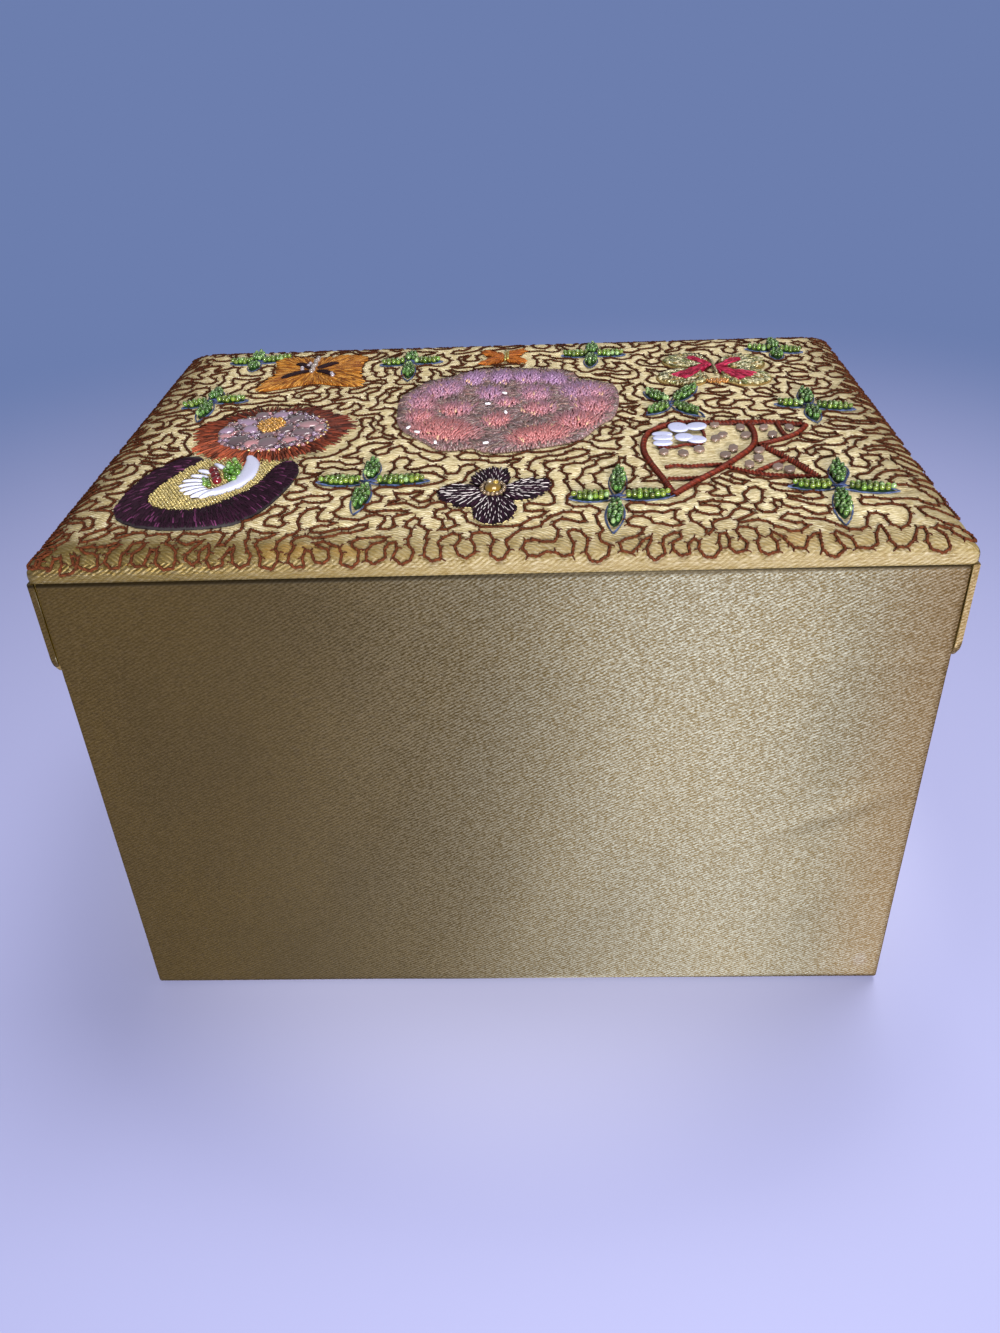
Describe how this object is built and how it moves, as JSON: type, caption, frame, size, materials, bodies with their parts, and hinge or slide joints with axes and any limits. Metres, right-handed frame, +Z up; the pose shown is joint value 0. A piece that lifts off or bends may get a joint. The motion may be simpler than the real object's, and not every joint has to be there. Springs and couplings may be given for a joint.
{
  "type": "jewelry box",
  "caption": "Rectangular satin-covered jewelry box with a cloth-hinged padded lid of beaded flowers and couched cord, a velvet lining, a mirror and a sliding till.",
  "frame": {"origin": "on the table, under the middle of the closed box's bounding box", "axes": "+Z up; the front, with the ribbon tab, faces -Y; the cloth hinge is at the rear, +Y; +X is to the right seen from the front"},
  "size_m": [0.281, 0.2, 0.1914],
  "materials": {
    "gold_satin": "satin, fine diagonal twill",
    "grey_board": "matt board",
    "white_foam": "matt foam",
    "base_felt": "matt felt",
    "rose_velvet": "short pile velvet",
    "gold_ribbon": "satin ribbon",
    "gold_braid": "twisted metallic braid",
    "mirror_glass": "polished",
    "lilac_beads": "translucent glass bugle beads",
    "rust_beads": "rust thread round pink glass beads",
    "plum_beads": "near-black plum seed beads",
    "gold_beads": "gold-lined glass beads",
    "orange_thread": "glossy floss",
    "russet_thread": "couched cord",
    "green_beads": "green glass beads, blue outline"
  },
  "bodies": {
    "box": {"base_sheet": "base_felt", "base_board": "grey_board", "front_wall": "grey_board", "rear_wall": "grey_board", "left_wall": "grey_board", "right_wall": "grey_board", "body_cover": "gold_satin", "rear_cover": "gold_satin", "hinge_cloth": "gold_satin", "hinge_lining": "gold_satin", "lining_floor": "rose_velvet", "lining_front": "rose_velvet", "lining_rear": "rose_velvet", "lining_left": "rose_velvet", "lining_right": "rose_velvet", "tray_ledge_front": "grey_board", "tray_ledge_rear": "grey_board", "stay_ribbon_right": "gold_ribbon", "stay_ribbon_left": "gold_ribbon"},
    "lid": {"lid_board": "grey_board", "lid_padding": "white_foam", "lid_cover": "gold_satin", "skirt_right": "gold_satin", "skirt_left": "gold_satin", "skirt_front": "gold_satin", "lid_lining": "rose_velvet", "mirror": "mirror_glass", "mirror_braid": "gold_braid", "pull_tab": "gold_ribbon", "peony": "lilac_beads", "rosette": "rust_beads", "crescent": "plum_beads", "wing_oval": "gold_beads", "fish": "russet_thread", "orange_butterfly": "orange_thread", "beaded_butterfly": "gold_beads", "small_flower": "orange_thread", "pansy": "plum_beads", "sprig_front_right": "green_beads", "sprig_front_mid_right": "green_beads", "sprig_front_mid_left": "green_beads", "sprig_front_left": "green_beads", "sprig_right": "green_beads", "sprig_mid_left": "green_beads", "sprig_left": "green_beads", "sprig_rear_mid_right": "green_beads", "sprig_rear_mid_left": "green_beads", "sprig_rear_left": "green_beads"},
    "till": {"till_floor": "rose_velvet", "till_front": "rose_velvet", "till_rear": "rose_velvet", "till_left": "rose_velvet", "till_right": "rose_velvet", "till_divider_cross": "rose_velvet", "till_divider_long": "rose_velvet", "ring_roll_1": "rose_velvet", "ring_roll_2": "rose_velvet", "ring_roll_3": "rose_velvet", "ring_roll_4": "rose_velvet", "till_tab": "gold_ribbon"}
  },
  "joints": [
    {"name": "lid_hinge", "type": "hinge", "parent": "box", "child": "lid", "pos_m": [0, 0.1, 0.17865], "axis": [-1, 0, 0], "range_deg": [0, 105], "deforming": ["hinge_cloth", "hinge_lining", "stay_ribbon_right", "stay_ribbon_left"]},
    {"name": "till_slide", "type": "slide", "parent": "box", "child": "till", "axis": [1, 0, 0], "range_m": [0, 0.1376]}
  ]
}
